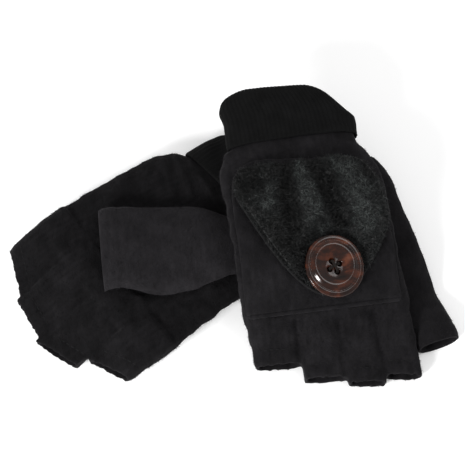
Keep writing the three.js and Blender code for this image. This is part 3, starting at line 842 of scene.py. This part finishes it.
def cap_outline(x, s, inset, with_mouth):
    """About the distance outside the cap's outline, drawn in by inset. Its front is cut on a slant at the tip."""
    slant = 6 * np.clip((18 - x) / 55, 0, 1) * with_mouth
    away = soft_max(np.abs(x - CAP_X) - cap_half(s) + inset, CAP_TIP_S + slant - s + inset, 3.0)
    if not with_mouth:
        return soft_max(away, s - HINGE_S - 0.2, 1.0)
    v = (x - CAP_X) / cap_half(s) - TONGUE_U
    slope = TONGUE_DEPTH * TONGUE_POWER * np.abs(v) ** (TONGUE_POWER - 1) / CAP_HALF
    mouth = (s - TONGUE_S + TONGUE_DEPTH * np.abs(v) ** TONGUE_POWER) / np.hypot(1, slope) + inset
    return soft_max(away, mouth, 2.5)


def slit(x, s, half_width):
    """About the distance outside the buttonhole, which runs along the hand."""
    return np.hypot(x - BUTTON_X, np.maximum(np.abs(s - SLIT_S) - SLIT_HALF, 0)) - half_width


def cap_sheet(side, low, high, inset, with_mouth, step, slit_wide):
    """A layer of the cap between two heights over the hand's back, with the buttonhole cut in it."""

    def field(x, s, h):
        roof, floor = (level(x, s) if callable(level) else level for level in (high, low))
        outline = cap_outline(x, s, inset, with_mouth)
        body = soft_max(soft_max(h - roof, floor - h, 0.7), outline, min(1.6, 0.6 + step))
        return soft_max(body, -slit(x, s, slit_wide), 0.4)

    vertices, faces = contour(field, (-46, CAP_TIP_S - 3, -2.5), (48, HINGE_S + 2, 13), step)
    vertices = relax(vertices, faces)
    height = vertices[:, 2].copy()
    vertices[:, 2] += back_of(side, vertices[:, 1])
    placed = laid(side, vertices)
    return placed, outward(placed, faces), height


def fur_top(side):
    """Height of the roots of the fur over the hand's back: three puffed lobes, pressed down at the button."""

    def top(x, s):
        u = (x - CAP_X) / cap_half(s)
        high = along(side["fur"], s) - 2.2 * np.abs(u) ** 4 - side["pile"] * 0.55
        high = high + 0.9 * side["puff"] - creases(x, s, GATHERS) * side["puff"] + 0.35 * ripple(x, s, 12, 41)
        away = np.hypot(x - BUTTON_X, s - BUTTON_S) - BUTTON_RADIUS
        pressed = side["seat"] - 1.2 + np.maximum(0, away - 1.5) * 0.5
        return np.maximum(np.minimum(high, pressed), FUR_RISE + 1.0)

    return top


def binding_path(side, count=120):
    u = np.linspace(-0.955, 0.955, count)
    x, s = mouth_line(u, 1.7)
    return np.stack([x, s, back_of(side, s) + FUR_RISE - 0.5], axis=1)


# ---- the button ----

BUTTON_STEP = 0.24
hole_turns = np.radians(HOLE_TURN + 90 * np.arange(4))
HOLES = HOLE_CIRCLE * np.stack([np.cos(hole_turns), np.sin(hole_turns)], axis=1)


def on_button(side, points):
    """Points round the button's own middle, placed on the mitten. The button and its thread are stiff."""
    seated = points * [1, -1, 1] + [BUTTON_X, BUTTON_S, back_of(side, BUTTON_S) + side["seat"]]
    return laid(side, seated, (BUTTON_X, BUTTON_S))


def button_mesh(side):
    """A four-hole coat button: bevelled rim, raised ring, dished middle and drilled holes."""
    r = BUTTON_RADIUS
    corners = [
        (0, UNDERSIDE), (r - 2.4, UNDERSIDE), (r - 0.5, 1.5), (r, 2.5), (r - 0.5, 3.3), (r - 2.0, 3.6),
        (r - 2.9, 3.2), (r - 3.6, 3.7), (r - 4.5, 4.45), (r - 5.3, BUTTON_THICK), (r - 6.2, 4.4),
        (r - 7.6, 3.6), (r - 9.2, 2.75), (r - 10.6, DISH), (0, DISH),
    ]

    def profile_field(radius, z):
        """About the distance outside the turned profile."""
        line = np.array(corners)
        away = np.min([off_line(radius, z, a, b) for a, b in zip(line[:-1], line[1:])], axis=0)
        roof, floor = (np.interp(radius, *half.T) for half in (line[3:][::-1], line[:4]))
        return np.where((z < roof) & (z > floor) & (radius < r), -away, away)

    def field(x, y, z):
        body = profile_field(np.hypot(x, y), z)
        for hx, hy in HOLES:
            body = soft_max(body, HOLE_RADIUS - np.hypot(x - hx, y - hy), 0.35)
        return body

    vertices, faces = contour(field, (-16, -16, -0.6), (16, 16, 6), BUTTON_STEP)
    vertices = relax(vertices, faces, 4)
    placed = on_button(side, vertices)
    return placed, outward(placed, faces)


def button_thread(side):
    """The thread: a wound shank, and two crossed bundles of strands through the button's four holes."""
    parts = []
    foot, back, face = -(side["seat"] - GAP), UNDERSIDE - GAP, DISH + GAP

    def strand(points, radius):
        points = np.asarray(points, float)
        fine = np.linspace(0, len(points) - 1, 12 * (len(points) - 1) + 1)
        rows = np.column_stack([np.arange(len(points)), points])
        line = np.stack([along(rows, fine, column) for column in (1, 2, 3)], axis=1)
        return tube(on_button(side, line), radius / 1000)

    shank, turns = 1.9, np.linspace(0, math.tau * 9, 200)
    climb = np.linspace(foot + 0.5, back - 0.5, 200)
    winding = np.stack([shank * np.cos(turns), shank * np.sin(turns), climb], axis=1)
    parts.append(tube(on_button(side, winding), WINDING_RADIUS))
    parts.append(strand([[0, 0, foot], [0, 0, (foot + back - 0.2) / 2], [0, 0, back - 0.2]], 1.7))
    for a, b, rise in ((0, 2, 0.3), (1, 3, 0.95)):
        way = (HOLES[b] - HOLES[a]) / np.linalg.norm(HOLES[b] - HOLES[a])
        beside = np.array([-way[1], way[0]])
        for off in (-0.42, 0, 0.42):
            start, stop = HOLES[a] + beside * off, HOLES[b] + beside * off
            over = [
                [*start, back], [*start, face - 0.4], [*(start + way * 0.5), face + rise],
                [*((start + stop) / 2), face + rise + 0.25],
                [*(stop - way * 0.5), face + rise], [*stop, face - 0.4], [*stop, back],
            ]
            parts.append(strand(over, 0.24))
    return joined(parts)


# ---- putting each mitten together ----


def finger_hem_lines(side):
    """Lines of stitches across the shown and the hidden face of each stub, where its hem is turned in."""
    lines = []
    angle = np.linspace(0.14 * math.pi, 0.86 * math.pi, 50)
    c, n = np.cos(angle), np.sin(angle)
    for finger in side["fingers"]:
        for way in (1, -1):
            across = finger[1] * np.sign(c) * np.abs(c) ** 0.74
            s = finger[2] - 7 + finger[4] * across
            high, sunk = stub_shape(side, finger, s)
            x = finger_place(finger, s) + across
            z = way * (high - 0.2) * np.abs(n) ** 0.74 - sunk
            lines.append(laid(side, np.stack([x, s, z + way * relief(side, x, s, z)], axis=1)))
    return lines


def thumb_hem_line(side):
    first, last = side["thumb"][0][0], side["thumb"][-1][0]
    (ring,) = thumb_rings(side, 0.1, np.linspace(0, math.tau, 120), last - 8.5 - first, last - 8.4)
    return laid(side, ring)


def hand_light_shade_and_streaks(side, points):
    """How light the fleece is: painted light on the right mitten's back and painted shade on the left one's palm, with
    random lighter streaks.
    """
    x, s = unlaid(side, points)
    streaks = 0.08 * ripple(x, s, 26, 71) + 0.07 * ripple(x * 2.5, s * 0.6, 9, 73)
    # 0.38 is painted light on the right mitten's back, 0.05 painted shade on the left one's palm
    return np.clip((0.38 if side["face"] > 0 else 0.05) + streaks, 0, 1)


HAND_NAP, THUMB_NAP, CAP_NAP = 16000, 5200, 6000  # how many fibres
NAP_LONG, NAP_WIDE, NAP_LEAN, NAP_STRAY = 0.0013, 0.00017, (0, 0, -0.15), 0.55
# the sheared locks that get a painted highlight, as lines with a width and a strength
LIT_LOCKS = [((-1, 28), (2, 52), 7, 0.75), ((24, 26), (27, 58), 8.5, 0.7), ((-23, 36), (-21, 48), 6, 0.45)]


def fur_tone(x, s):
    """How light the fur is: a painted highlight on three sheared locks, painted shade in the gathers between them and
    on the side away from the thumb towards the fingers, and random patches.
    """
    light, dark = creases(x, s, LIT_LOCKS), creases(x, s, GATHERS) / 3
    shaded = 0.3 * np.clip((-x - 2) / 14, 0, 1) * np.clip((s - 48) / 14, 0, 1)
    patchy = 0.13 * ripple(x, s, 7, 72)
    return np.clip(0.3 + 1.15 * light - 1.1 * dark - shaded + patchy, 0, 1)


def make_mitten(side):
    name = side["name"]
    hand, thumb, cap, front = (f"{name}_{body}" for body in ("hand", "thumb", "cap", "cap_front"))

    def piece(kind, vertices, faces, look, slot, body=None, nodes=(), tone=None, smooth=True):
        """One visible piece of this mitten, with the body it rides on and the CAD nodes it stands for."""
        mesh = bpy.data.meshes.new(f"{name}_{kind}")
        mesh.from_pydata([tuple(v) for v in vertices], [], [tuple(int(i) for i in f) for f in faces])
        mesh.validate()
        if smooth:
            mesh.shade_smooth()
        if tone is not None:
            mesh.attributes.new("tone", "FLOAT", "POINT").data.foreach_set("value", np.asarray(tone, np.float32))
        mesh.materials.append(look)
        made = bpy.data.objects.new(f"{name}_{kind}", mesh)
        bpy.context.scene.collection.objects.link(made)
        if body:
            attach(made, body)
        if nodes:
            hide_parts(*(f"{name}_{node}" for node in nodes))
        return made

    def nap(kind, vertices, faces, count, seed, pick, body=None, long=NAP_LONG, lean=NAP_LEAN):
        """The short fibres that stand out of fleece. On the hand and the cap they carry the same painted light and
        shade as the cloth.
        """
        points, triangles, tone = fibres(vertices, faces, count, long, NAP_WIDE, lean, NAP_STRAY, seed, 1, pick)
        if body:
            tone = tone * (0.14 + hand_light_shade_and_streaks(side, points))
        return piece(kind, points, triangles, NAP_LOOK, "fleece", body, tone=tone, smooth=False)

    # the hand, with its four finger stubs, in one continuous skin of two sewn panels
    vertices, faces, outer = hand_skin(side)
    nodes = ["back_panel", "palm_panel", *(f"{finger}_stub" for finger in ("index", "middle", "ring", "little"))]
    # the hand's fleece carries the painted light and shade
    tone = hand_light_shade_and_streaks(side, vertices)
    skin = piece("hand_fleece", vertices, faces, FLEECE_LOOK, "fleece", hand, nodes, tone)
    hand_nap = nap("hand_nap", vertices, faces, HAND_NAP, 51, outer, hand)
    seams = piece("hem_stitches", *stitches(finger_hem_lines(side)), TAPE_LOOK, "thread", hand)

    # the thumb, whose stations turn where it leaves the palm, baked into the frame
    vertices, faces, quads, outer = thumb_skin(side)
    # the thumb's tone is its painted light, the same all over
    nodes, tone = ["thumb_front", "thumb_back", "thumb_hem"], np.full(len(vertices), side["thumb_painted_light"])
    sleeve = piece("thumb_fleece", vertices, faces, FLEECE_LOOK, "fleece", nodes=nodes, tone=tone)
    thumb_nap = nap("thumb_nap", vertices, quads, THUMB_NAP, 52, outer)
    hem = piece("thumb_stitches", *stitches([thumb_hem_line(side)]), TAPE_LOOK, "thread")
    start, end = (laid(side, [(row[1], row[0], row[2])])[0] for row in side["thumb"][:2])
    for made in (sleeve, thumb_nap, hem):
        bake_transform(made)

    # the cuff
    cuff = piece("rib_cuff", *cuff_mesh(side), RIB_LOOK, "rib_knit", hand, ["cuff"])

    # the cap: a fleece back, a lining and a furry front with a bound mouth
    def back_level(way):
        """The height of the back's cloth, on its upper face for 1 and its lower face for -1."""

        def level(x, s):
            outline = cap_outline(x, s, 0, False)
            droop = RIM_DROOP * np.clip(outline / 6 + 1, 0, 1) ** 2 * np.clip((HINGE_S - s) / 5, 0.25, 1)
            middle = HINGE_RISE - droop + 0.3 * ripple(x, s, 22, 14) + 0.2 * ripple(x, s, 9, 15)
            return middle + way * FLEECE * (0.5 - 0.2 * np.clip(outline / 3 + 1, 0, 1) ** 2)

        return level

    vertices, faces, _ = cap_sheet(side, back_level(-1), back_level(1), 0.6, False, CAP_STEP, SLIT_WIDE)
    # the cap's back carries the same painted light as the hand
    tone = hand_light_shade_and_streaks(side, vertices)
    back = piece("cap_fleece", vertices, faces, FLEECE_LOOK, "fleece", cap, ["cap_back"], tone)
    back_nap = nap("cap_nap", vertices, faces, CAP_NAP, 56, None, cap, long=0.0012, lean=(0, 0, 0))

    vertices, faces, _ = cap_sheet(side, LINING_RISE, LINING_RISE + LINING, FRONT_INSET, True, LINING_STEP, SLIT_WIDE)
    lining = piece("cap_lining_cloth", vertices, faces, LINING_LOOK, "lining", front, ["cap_lining"])

    vertices, faces, height = cap_sheet(side, FUR_RISE, fur_top(side), FRONT_INSET, True, FUR_STEP, FUR_SLIT_WIDE)
    tone, roots = np.full(len(vertices), 0.05), height > FUR_RISE + 0.1
    fur = piece("cap_fur_backing", vertices, faces, FUR_LOOK, "faux_fur", front, ["cap_fur"], tone)
    lean = (0, -0.5, 0) if side["face"] > 0 else (-0.3, 0.15, 0)
    for kind, count, long, width, segments, stray, curl in (
        ("underfur", 19000, 0.55, 0.0003, 2, 0.75, 0.7),
        ("guard_hair", 8000, 0.9, 0.00022, 3, 0.8, 0.8),
    ):
        count = count if side["face"] > 0 else count // 3
        long = long * side["pile"] / 1000
        points, triangles, tone = fibres(
            vertices, faces, count, long, width, lean, stray, 53 + segments, segments, roots, curl, clump=0.45
        )
        # the fibres carry the fur's painted highlight and painted shade
        tone = tone * (0.08 + 1.2 * fur_tone(*unlaid(side, points)))
        piece(f"cap_{kind}", points, triangles, FUR_LOOK, "faux_fur", front, tone=tone, smooth=False)

    binding = tube(laid(side, binding_path(side)), BINDING_RADIUS, 12, wobble=0.05, seed=61)
    piece("cap_mouth_binding", *binding, TAPE_LOOK, "binding", front, ["cap_binding"])

    x = np.linspace(CAP_X - CAP_HALF + 2.2, CAP_X + CAP_HALF - 2.2, 110)
    line = np.column_stack([x, np.full(x.shape, HINGE_S), back_of(side, HINGE_S) + HINGE_RISE - 0.9 + 0 * x])
    points, sides = tube(laid(side, line), ROLL_RADIUS, 12, wobble=0.06, seed=62)
    # the hinge roll carries the same painted light as the hand
    piece("hinge_roll", points, sides, FLEECE_LOOK, "binding", hand, ["hinge_seam"], hand_light_shade_and_streaks(side, points))

    # the button
    piece("horn_button", *button_mesh(side), HORN_LOOK, "button", hand, ["button"])
    piece("button_stitching", *button_thread(side), THREAD_LOOK, "thread", hand, ["button_thread"])


# ---- the studio ----


def studio():
    """A plain pale floor, soft lights and the camera."""
    bpy.ops.mesh.primitive_plane_add(size=8)
    floor = bpy.context.object
    floor.name = "floor"
    look = Look("pale_floor")
    look.set(Base_Color=(0.93, 0.93, 0.93, 1), Roughness=0.9, Specular_IOR_Level=0.1)
    look.set(Emission_Color=(1, 1, 1, 1), Emission_Strength=0.22)
    floor.data.materials.append(look.material)

    world = bpy.data.worlds.new("studio")
    world.use_nodes = True
    background = world.node_tree.nodes["Background"].inputs
    background["Color"].default_value, background["Strength"].default_value = (1, 1, 1, 1), 0.62
    bpy.context.scene.world = world
    bpy.context.scene.view_settings.view_transform = "Standard"

    azimuth, elevation, distance, lens = math.radians(-8.3), math.radians(62), 0.62, 91.2
    right = Vector((math.cos(azimuth), math.sin(azimuth), 0))
    level = math.cos(elevation)
    ahead = Vector((-math.sin(azimuth) * level, math.cos(azimuth) * level, -math.sin(elevation)))
    up = right.cross(ahead)
    target = Vector((0.00629, 0.00639, 0.0151)) + up * 0.0029

    def lamp(name, across, upward, nearer, size, watts):
        """A soft disc of light, placed from the target along the camera's own directions."""
        data = bpy.data.lights.new(name, "AREA")
        data.shape, data.size, data.energy = "DISK", size, watts
        lamp = bpy.data.objects.new(name, data)
        lamp.location = target + right * across + up * upward - ahead * nearer
        lamp.rotation_euler = (target - lamp.location).to_track_quat("-Z", "Y").to_euler()
        bpy.context.scene.collection.objects.link(lamp)

    lamp("key", -0.42, -0.34, 0.62, 0.22, 7)
    lamp("fill", 0.5, 0.5, 0.9, 0.5, 3)

    data = bpy.data.cameras.new("camera")
    data.lens, data.clip_start, data.clip_end = lens, 0.01, 20
    camera = bpy.data.objects.new("camera", data)
    turned = Matrix((right, up, -ahead)).transposed().to_4x4()
    camera.matrix_world = Matrix.Translation(target - ahead * distance) @ turned
    bpy.context.scene.collection.objects.link(camera)
    bpy.context.scene.camera = camera


for mitten in (RIGHT, LEFT):
    settle(mitten)
    make_mitten(mitten)
studio()
